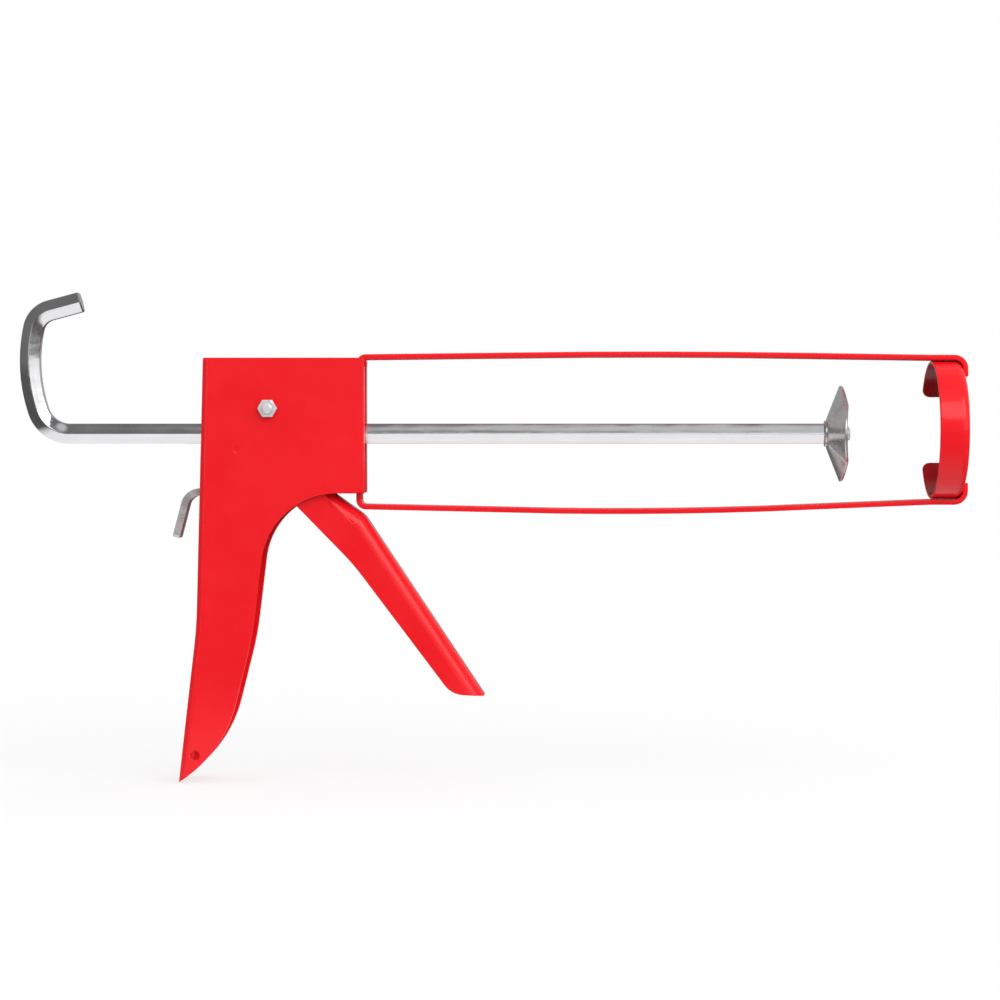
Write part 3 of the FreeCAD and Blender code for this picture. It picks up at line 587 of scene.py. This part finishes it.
@dataclass
class PushRod:
    """Hexagon bar with a hook bent at its rear and a threaded stud in front.

    Each bend is its radius and its angle in degrees, in order from the straight bar to the hook's end.
    """

    shop: Paintshop
    flats: float = 7.5 * MM
    front_x: float = 173.1 * MM
    rear_x: float = -109.6 * MM
    bends: tuple[tuple[float, float], ...] = ((12.5 * MM, 72.0), (60.0 * MM, 30.0), (8.6 * MM, 63.0))
    bend_step: float = 1.5
    fewest_steps: int = 8
    arm: float = 12.2 * MM
    edge_round: float = 0.45 * MM
    edge_steps: tuple[float, ...] = (-30.0, -10.0, 10.0, 30.0)
    straight_marks: tuple[float, ...] = (0.25, 0.5, 0.75, 1.0)
    chamfer: float = 0.5 * MM
    end_size: float = 0.86
    map_scale: float = 10.0
    stud_radius: float = 2.8 * MM
    stud_length: float = 9.5 * MM
    thread_pitch: float = 0.9 * MM
    thread_depth: float = 0.22 * MM
    thread_rows: int = 8
    stud_around: int = 48
    stud_root: float = 1.0 * MM
    stud_tip: float = 0.6 * MM
    stud_tip_size: float = 0.8

    def section(self) -> list[tuple[float, float]]:
        """Corners of the rounded hexagon across the bar.

        Returns:
            (sideways, upward) of each corner.
        """
        reach = self.flats / math.sqrt(3.0)
        inset = reach - self.edge_round / math.cos(math.radians(30.0))
        points = []
        for corner in range(6):
            turn = math.radians(60.0 * corner)
            centre = (inset * math.cos(turn), inset * math.sin(turn))
            for step in self.edge_steps:
                angle = turn + math.radians(step)
                points.append((centre[0] + self.edge_round * math.cos(angle),
                               centre[1] + self.edge_round * math.sin(angle)))
        return points

    def stations(self) -> list[tuple[Vector, Vector, float]]:
        """Places along the bar from front to hook end.

        Returns:
            (place, heading, length so far) of each section.
        """
        place = Vector((self.front_x, 0.0, 0.0))
        heading = Vector((-1.0, 0.0, 0.0))
        length = 0.0
        found = [(place.copy(), heading.copy(), length)]
        straight = self.front_x - self.rear_x
        for share in self.straight_marks:
            found.append((place + heading * straight * share, heading.copy(), straight * share))
        place = place + heading * straight
        length = straight
        for radius, angle in self.bends:
            inward = Vector((heading.z, 0.0, -heading.x))
            centre = place + inward * radius
            steps = max(self.fewest_steps, int(angle / self.bend_step))
            for i in range(1, steps + 1):
                turn = Matrix.Rotation(math.radians(angle * i / steps), 3, "Y")
                found.append((centre + turn @ (place - centre), turn @ heading,
                              length + radius * math.radians(angle * i / steps)))
            place, heading, length = found[-1]
        found.append((place + heading * self.arm, heading.copy(), length + self.arm))
        return found

    def bar(self) -> bpy.types.Object:
        """Sweep the hexagon along the bar, with chamfered ends and a surface map.

        Returns:
            The bar's piece.
        """
        section = self.section()
        count = len(section)
        stations = self.stations()
        first, last = stations[0], stations[-1]
        rings = [
            (*first, self.end_size),
            (first[0] + first[1] * self.chamfer, first[1], self.chamfer, 1.0),
            *((place, heading, length, 1.0) for place, heading, length in stations[1:-1]),
            (last[0] - last[1] * self.chamfer, last[1], last[2] - self.chamfer, 1.0),
            (*last, self.end_size),
        ]
        verts = []
        for place, heading, _, size in rings:
            upward = Vector((heading.z, 0.0, -heading.x))
            for side, rise in section:
                verts.append(place + Vector((0.0, side, 0.0)) * size + upward * rise * size)
        faces = ring_faces(len(rings), count)
        piece = new_piece("hooked_rod", verts, faces, self.shop.rod, Body.ROD)
        self.map_surface(piece.data, [r[2] for r in rings], count)
        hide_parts("push_rod")
        return piece

    def map_surface(self, mesh: bpy.types.Mesh, lengths: list[float], count: int) -> None:
        """Lay a surface map along the bar so that the drawing lines follow its bends.

        Args:
            mesh: the swept bar.
            lengths: length so far at each ring.
            count: corners round each ring.
        """
        layer = mesh.uv_layers.new(name="along_bar")
        for polygon in mesh.polygons:
            wraps = any(v % count == 0 for v in polygon.vertices) and any(
                v % count == count - 1 for v in polygon.vertices)
            for loop in polygon.loop_indices:
                corner = mesh.loops[loop].vertex_index
                ring, around = divmod(corner, count)
                if wraps and around == 0 and len(polygon.vertices) == 4:
                    around = count
                layer.data[loop].uv = (lengths[ring] * self.map_scale, around / count)

    def stud(self) -> bpy.types.Object:
        """Threaded stud that carries the plunger.

        Returns:
            The stud's piece.
        """
        start = self.front_x - self.stud_root
        end = self.front_x + self.stud_length
        rows = int((end - start) / (self.thread_pitch / self.thread_rows))
        verts = []
        for r in range(rows + 1):
            x = start + (end - start) * r / rows
            taper = min(1.0, (end - x) / self.stud_tip)
            size = self.stud_tip_size + (1.0 - self.stud_tip_size) * taper
            for i in range(self.stud_around):
                phase = (x / self.thread_pitch - i / self.stud_around) % 1.0
                groove = self.thread_depth * (1.0 - abs(2.0 * phase - 1.0))
                radius = (self.stud_radius - groove) * size
                turn = 2.0 * math.pi * i / self.stud_around
                verts.append(Vector((x, radius * math.cos(turn), radius * math.sin(turn))))
        faces = ring_faces(rows + 1, self.stud_around)
        return new_piece("plunger_stud", verts, faces, self.shop.fastener, Body.ROD)

    def build(self) -> list[bpy.types.Object]:
        """Make the bar and its stud."""
        return [self.bar(), self.stud()]


@dataclass
class Plunger:
    """Pressed clover-shaped dish with its washer and nut.

    The petal rise is the dish's depth at a petal's middle, and the flute rise its depth in a crease.
    """

    shop: Paintshop
    back_x: float = 173.9 * MM
    hole: float = 2.85 * MM
    floor: float = 4.9 * MM
    rim: float = 16.6 * MM
    lobe: float = 1.5 * MM
    sheet: float = 1.15 * MM
    petal_rise: float = 4.9 * MM
    flute_rise: float = 6.3 * MM
    crease_softness: float = 0.004
    swell_middle: float = 1.03
    floor_blend: float = 0.12
    around: int = 192
    rows: int = 34
    rim_round: float = 0.3 * MM
    rim_angle: float = math.radians(50.0)
    nut_round: float = 0.15 * MM

    def petal(self, turn: float) -> float:
        """Swell of the rim at an angle, 1 at a petal's middle and -1 in a crease."""
        return 2.0 * math.sqrt(math.cos(2.0 * turn) ** 2 + self.crease_softness) - self.swell_middle

    def point(self, share: float, turn: float) -> Vector:
        """Place on the rear face of the dish.

        Args:
            share: 0 at the hole, 1 at the rim.
            turn: angle round the rod.

        Returns:
            The place in metres.
        """
        swell = self.petal(turn)
        reach = self.rim + self.lobe * swell
        radius = self.hole + (reach - self.hole) * share
        out = max(0.0, (radius - self.floor) / (reach - self.floor))
        soft = self.floor_blend
        ease = out * out / (2.0 * soft) if out < soft else out - soft / 2.0
        middle_rise = (self.petal_rise + self.flute_rise) / 2.0
        rise = middle_rise + (self.petal_rise - self.flute_rise) / 2.0 * swell
        x = self.back_x + rise * ease / (1.0 - soft / 2.0)
        return Vector((x, radius * math.sin(turn), radius * math.cos(turn)))

    def plate(self) -> bpy.types.Object:
        """Press the dish as a sheet of even thickness.

        Returns:
            The dish's piece.
        """
        verts = [self.point(r / self.rows, 2.0 * math.pi * i / self.around)
                 for r in range(self.rows + 1) for i in range(self.around)]
        faces = ring_faces(self.rows + 1, self.around, capped=False)
        piece = new_piece("plunger_dish", verts, faces, self.shop.plunger, Body.ROD)
        solid = piece.modifiers.new("sheet", "SOLIDIFY")
        solid.thickness = self.sheet
        solid.offset = 1.0
        edge = piece.modifiers.new("edge", "BEVEL")
        edge.width = self.rim_round
        edge.segments = 3
        edge.limit_method = "ANGLE"
        edge.angle_limit = self.rim_angle
        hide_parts("plunger_plate")
        return piece

    def build(self) -> list[bpy.types.Object]:
        """Make the dish, its washer and its nut.

        Returns:
            The pieces.
        """
        return [
            self.plate(),
            rounded_copy("plunger_washer", "thin_washer", self.nut_round, self.shop.plunger, Body.ROD),
            rounded_copy("plunger_nut", "stud_nut", self.nut_round, self.shop.fastener, Body.ROD),
        ]


@dataclass
class PivotSet:
    """Bolt, nut and sleeve that the trigger turns on."""

    shop: Paintshop
    edge_round: float = 0.18 * MM

    def build(self) -> list[bpy.types.Object]:
        """Make the bolt and nut, and dress the sleeve.

        Returns:
            The pieces.
        """
        metal = self.shop.fastener
        return [
            rounded_copy("pivot_nut", "near_nut", self.edge_round, metal, Body.FRAME),
            rounded_copy("pivot_bolt", "domed_bolt", self.edge_round, metal, Body.FRAME),
            dress("pivot_sleeve", metal),
        ]


@dataclass
class Coil:
    """Wire coil about the rod with a closed, ground turn at each end."""

    rear_x: float
    front_x: float
    radius: float
    wire: float
    turns: int
    end_room: float = 0.15 * MM
    around: int = 12
    per_turn: int = 40

    def height(self, turn: float) -> float:
        """Place of the wire along the rod after a number of turns.

        Args:
            turn: turns from the rear end.

        Returns:
            The place in metres.
        """
        closed = 2.0 * self.wire + self.end_room
        span = self.front_x - self.rear_x - 2.0 * self.wire - 2.0 * closed
        rise = closed * min(turn, 1.0) + closed * max(turn - (self.turns - 1.0), 0.0)
        open_share = min(max((turn - 1.0) / (self.turns - 2.0), 0.0), 1.0)
        return self.rear_x + self.wire + rise + span * open_share

    def wire_mesh(self, name: str, first: float, last: float, material: bpy.types.Material) -> bpy.types.Object:
        """Sweep the wire over part of the coil.

        Args:
            name: name of the piece.
            first: turn where the piece starts.
            last: turn where it ends.
            material: finish of the wire.

        Returns:
            The new piece, riding on nothing yet.
        """
        steps = int((last - first) * self.per_turn)
        verts = []
        for s in range(steps + 1):
            turn = first + (last - first) * s / steps
            angle = 2.0 * math.pi * turn
            out = Vector((0.0, math.cos(angle), math.sin(angle)))
            middle = out * self.radius + Vector((self.height(turn), 0.0, 0.0))
            for i in range(self.around):
                round_wire = 2.0 * math.pi * i / self.around
                across = out * math.cos(round_wire) + Vector((math.sin(round_wire), 0.0, 0.0))
                verts.append(middle + across * self.wire)
        mesh = bpy.data.meshes.new(name)
        mesh.from_pydata([tuple(v) for v in verts], [], ring_faces(steps + 1, self.around))
        return finish_piece(name, mesh, material, None)


@dataclass
class DriveTrain:
    """Drive plate, brake lever and both springs about the rod."""

    shop: Paintshop
    plate_rear_x: float = -31.2 * MM
    plate_front_x: float = -28.2 * MM
    web_rear_x: float = -2.0 * MM
    drive_radius: float = 6.2 * MM
    drive_wire: float = 0.65 * MM
    drive_turns: int = 8
    brake_radius: float = 5.4 * MM
    brake_wire: float = 0.45 * MM
    brake_turns: int = 6
    tee_round: float = 0.3 * MM
    lever_round: float = 0.35 * MM

    def springs(self) -> list[bpy.types.Object]:
        """Make the drive spring and the two halves of the brake spring.

        Returns:
            The wire pieces.
        """
        drive = Coil(self.plate_front_x, self.web_rear_x, self.drive_radius, self.drive_wire, self.drive_turns)
        whole = drive.wire_mesh("drive_coil", 0.0, float(drive.turns), self.shop.wire)
        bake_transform(whole)
        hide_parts("drive_spring")
        brake = Coil(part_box("brake_spring")[0].x, self.plate_rear_x, self.brake_radius, self.brake_wire,
                     self.brake_turns)
        middle_turn = brake.turns / 2.0
        rear = brake.wire_mesh("brake_coil_rear", 0.0, middle_turn, self.shop.wire)
        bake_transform(rear)
        front = brake.wire_mesh("brake_coil_front", middle_turn, float(brake.turns), self.shop.wire)
        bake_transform(front)
        for half in (rear, front):
            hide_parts("brake_spring")
        return [whole, rear, front]

    def build(self) -> list[bpy.types.Object]:
        """Make the plates and springs.

        Returns:
            The pieces.
        """
        pieces = [
            rounded_copy("drive_plate", "drive_tee", self.tee_round, self.shop.plate, Body.DRIVE),
            rounded_copy("brake_lever", "release_lever", self.lever_round, self.shop.release, Body.BRAKE),
        ]
        return pieces + self.springs()


# ---- studio ------------------------------------------------------------------------
@dataclass
class Studio:
    """Pale floor, white room, one soft light and the camera.

    The floor shows its matt tone near the gun and fades to white; in mirrors it is bright near the gun and dark
    beyond. Each mirror patch is a direction, the cosines where it ends and where it is full, and its strength.
    """

    floor_z: float = -0.1302
    floor_half: float = 14.0
    floor_tone: float = 0.80
    floor_roughness: float = 0.7
    floor_bounce: float = 0.5
    floor_matt: float = 0.30
    floor_matt_reach: float = 0.9
    floor_matt_full: float = 0.72
    floor_near: float = 0.95
    floor_far: float = 0.08
    floor_patch: tuple[float, float] = (0.42, 0.36)
    floor_patch_fade: tuple[float, float] = (0.2, 0.42)
    camera_place: tuple[float, float, float] = (0.0573, -1.050, -0.0017)
    camera_aim: tuple[float, float, float] = (0.0516, 0.0, -0.0249)
    lens: float = 100.8
    sensor: float = 36.0
    view_depth: float = 60.0
    key_aim: tuple[float, float, float] = (0.05, 0.0, -0.02)
    key_offset: tuple[float, float, float] = (0.72, -1.20, 0.90)
    key_size: tuple[float, float] = (1.9, 0.80)
    key_power: float = 10.0
    fill_heading: tuple[float, float, float] = (0.6, -0.6, 0.5)
    fill_left: float = 0.22
    fill_right: float = 1.25
    mirror_base: float = 0.14
    mirror_patches: tuple[tuple[tuple[float, float, float], float, float, float], ...] = (
        ((0.82, -0.55, -0.12), 0.70, 0.92, 0.85),
        ((0.0, 1.0, 0.1), -0.1, 0.6, 0.25),
        ((0.07, -0.49, 0.86), 0.978, 0.9985, 0.42),
        ((-0.66, -0.75, -0.02), 0.965, 0.992, 1.30),
    )

    def floor(self) -> None:
        """Lay a pale floor that fades into the white of the room."""
        h = self.floor_half
        mesh = bpy.data.meshes.new("studio_floor")
        mesh.from_pydata([(-h, -h, self.floor_z), (h, -h, self.floor_z), (h, h, self.floor_z),
                          (-h, h, self.floor_z)], [], [(0, 1, 2, 3)])
        floor = bpy.data.objects.new("studio_floor", mesh)
        bpy.context.scene.collection.objects.link(floor)
        bench = Bench("pale_floor")
        bench.set("Base Color", (self.floor_tone, self.floor_tone, self.floor_tone, 1.0))
        bench.set("Roughness", self.floor_roughness)
        bench.set("Specular IOR Level", 0.0)
        gradient = self.round_fade(bench, self.floor_matt_reach, self.floor_matt_reach)
        glow = bench.node("ShaderNodeEmission")
        glow.inputs["Color"].default_value = (1.0, 1.0, 1.0, 1.0)
        patch = self.round_fade(bench, *self.floor_patch)
        path = bench.node("ShaderNodeLightPath")
        bounce = bench.spread(path.outputs["Is Diffuse Ray"], 0.0, 1.0, 1.0, self.floor_bounce)
        lit = bench.spread(patch, *self.floor_patch_fade, self.floor_far, self.floor_near)
        mirrored = bench.node("ShaderNodeMix")
        bench.link(path.outputs["Is Glossy Ray"], mirrored.inputs["Factor"])
        bench.link(bounce, mirrored.inputs["A"])
        bench.link(lit, mirrored.inputs["B"])
        bench.link(mirrored.outputs["Result"], glow.inputs["Strength"])
        mix = bench.node("ShaderNodeMixShader")
        matt = bench.spread(gradient, 0.0, self.floor_matt_full, 0.0, self.floor_matt)
        seen = bench.spread(path.outputs["Is Glossy Ray"], 0.0, 1.0, 1.0, 0.0)
        bench.link(bench.multiply(matt, seen), mix.inputs["Fac"])
        bench.link(glow.outputs["Emission"], mix.inputs[1])
        bench.link(bench.shader.outputs["BSDF"], mix.inputs[2])
        output = bench.tree.nodes["Material Output"]
        bench.link(mix.outputs["Shader"], output.inputs["Surface"])
        mesh.materials.append(bench.material)

    def round_fade(self, bench: Bench, reach_x: float, reach_y: float) -> bpy.types.NodeSocket:
        """Values that fall from 1 at the origin to 0 at an oval's edge.

        Args:
            bench: material under construction.
            reach_x: half-length of the oval along X in metres.
            reach_y: half-length of the oval along Y in metres.

        Returns:
            The values.
        """
        fade = bench.node("ShaderNodeTexGradient")
        fade.gradient_type = "SPHERICAL"
        bench.link(bench.stretched((1.0 / reach_x, 1.0 / reach_y, 1.0)), fade.inputs["Vector"])
        return fade.outputs["Fac"]

    def lobe(self, tree: bpy.types.NodeTree, heading: tuple[float, float, float], low: float, high: float,
             strength: float) -> bpy.types.NodeSocket:
        """Soft patch of light in one direction of the room.

        Args:
            tree: node tree of the room.
            heading: middle of the patch.
            low: cosine from the middle where the patch ends.
            high: cosine from the middle where it is full.
            strength: brightness of the full patch.

        Returns:
            Brightness of the patch in each direction.
        """
        place = tree.nodes.new("ShaderNodeTexCoord")
        toward = tree.nodes.new("ShaderNodeVectorMath")
        toward.operation = "DOT_PRODUCT"
        toward.inputs[1].default_value = Vector(heading).normalized()
        tree.links.new(place.outputs["Generated"], toward.inputs[0])
        ramp = tree.nodes.new("ShaderNodeMapRange")
        ramp.interpolation_type = "SMOOTHSTEP"
        for name, number in zip(("From Min", "From Max", "To Min", "To Max"), (low, high, 0.0, strength)):
            ramp.inputs[name].default_value = number
        tree.links.new(toward.outputs["Value"], ramp.inputs["Value"])
        return ramp.outputs["Result"]

    def background(self, tree: bpy.types.NodeTree, patches: list[bpy.types.NodeSocket], base: float
                   ) -> bpy.types.NodeSocket:
        """White background whose brightness is a base value plus some patches.

        Args:
            tree: node tree of the room.
            patches: brightness of each patch.
            base: brightness away from every patch.

        Returns:
            The background shader.
        """
        shader = tree.nodes.new("ShaderNodeBackground")
        shader.inputs["Color"].default_value = (1.0, 1.0, 1.0, 1.0)
        shader.inputs["Strength"].default_value = base
        total = None
        for patch in patches:
            add = tree.nodes.new("ShaderNodeMath")
            add.operation = "ADD"
            tree.links.new(patch, add.inputs[0])
            add.inputs[1].default_value = base
            if total is not None:
                tree.links.new(total, add.inputs[1])
            total = add.outputs[0]
        if total is not None:
            tree.links.new(total, shader.inputs["Strength"])
        return shader.outputs["Background"]

    def room(self) -> None:
        """White room that fills the gun evenly and mirrors as a dark studio with bright patches."""
        world = bpy.data.worlds.new("white_room")
        bpy.context.scene.world = world
        world.use_nodes = True
        tree = world.node_tree
        tree.nodes.clear()
        slope = self.lobe(tree, self.fill_heading, -1.0, 1.0, self.fill_right)
        fill = self.background(tree, [slope], self.fill_left)
        bright = [self.lobe(tree, *patch) for patch in self.mirror_patches]
        mirrored = self.background(tree, bright, self.mirror_base)
        seen = self.background(tree, [], 1.0)
        path = tree.nodes.new("ShaderNodeLightPath")
        glossy = tree.nodes.new("ShaderNodeMixShader")
        tree.links.new(path.outputs["Is Glossy Ray"], glossy.inputs["Fac"])
        tree.links.new(fill, glossy.inputs[1])
        tree.links.new(mirrored, glossy.inputs[2])
        camera = tree.nodes.new("ShaderNodeMixShader")
        tree.links.new(path.outputs["Is Camera Ray"], camera.inputs["Fac"])
        tree.links.new(glossy.outputs["Shader"], camera.inputs[1])
        tree.links.new(seen, camera.inputs[2])
        output = tree.nodes.new("ShaderNodeOutputWorld")
        tree.links.new(camera.outputs["Shader"], output.inputs["Surface"])

    def key_light(self) -> None:
        """Rectangular soft light in front of the gun, above it and to its right."""
        data = bpy.data.lights.new("key_softbox", "AREA")
        data.shape = "RECTANGLE"
        data.size, data.size_y = self.key_size
        data.energy = self.key_power
        light = bpy.data.objects.new("key_softbox", data)
        bpy.context.scene.collection.objects.link(light)
        light.location = Vector(self.key_aim) + Vector(self.key_offset)
        light.rotation_euler = (-Vector(self.key_offset)).to_track_quat("-Z", "Y").to_euler()

    def camera(self) -> None:
        """Long lens at the height of the rod, square to the gun's side."""
        data = bpy.data.cameras.new("side_camera")
        data.lens = self.lens
        data.sensor_width = self.sensor
        data.clip_end = self.view_depth
        camera = bpy.data.objects.new("side_camera", data)
        bpy.context.scene.collection.objects.link(camera)
        camera.location = self.camera_place
        aim = Vector(self.camera_aim) - Vector(self.camera_place)
        camera.rotation_euler = aim.to_track_quat("-Z", "Y").to_euler()
        bpy.context.scene.camera = camera

    def build(self) -> None:
        """Set the whole studio up."""
        self.floor()
        self.room()
        self.key_light()
        self.camera()
        bpy.context.scene.view_settings.view_transform = "Standard"


def main() -> None:
    """Build the gun piece by piece, then the studio, and log each piece's face count."""
    logging.basicConfig(level=logging.INFO)
    shop = Paintshop()
    for assembly in (HandleAndCradle(shop), TriggerLever(shop), PivotSet(shop), PushRod(shop), Plunger(shop),
                     DriveTrain(shop)):
        for piece in assembly.build():
            LOG.info("%s: %s with %d faces", type(assembly).__name__, piece.name, len(piece.data.polygons))
    Studio().build()


if __name__ == "__main__":
    main()
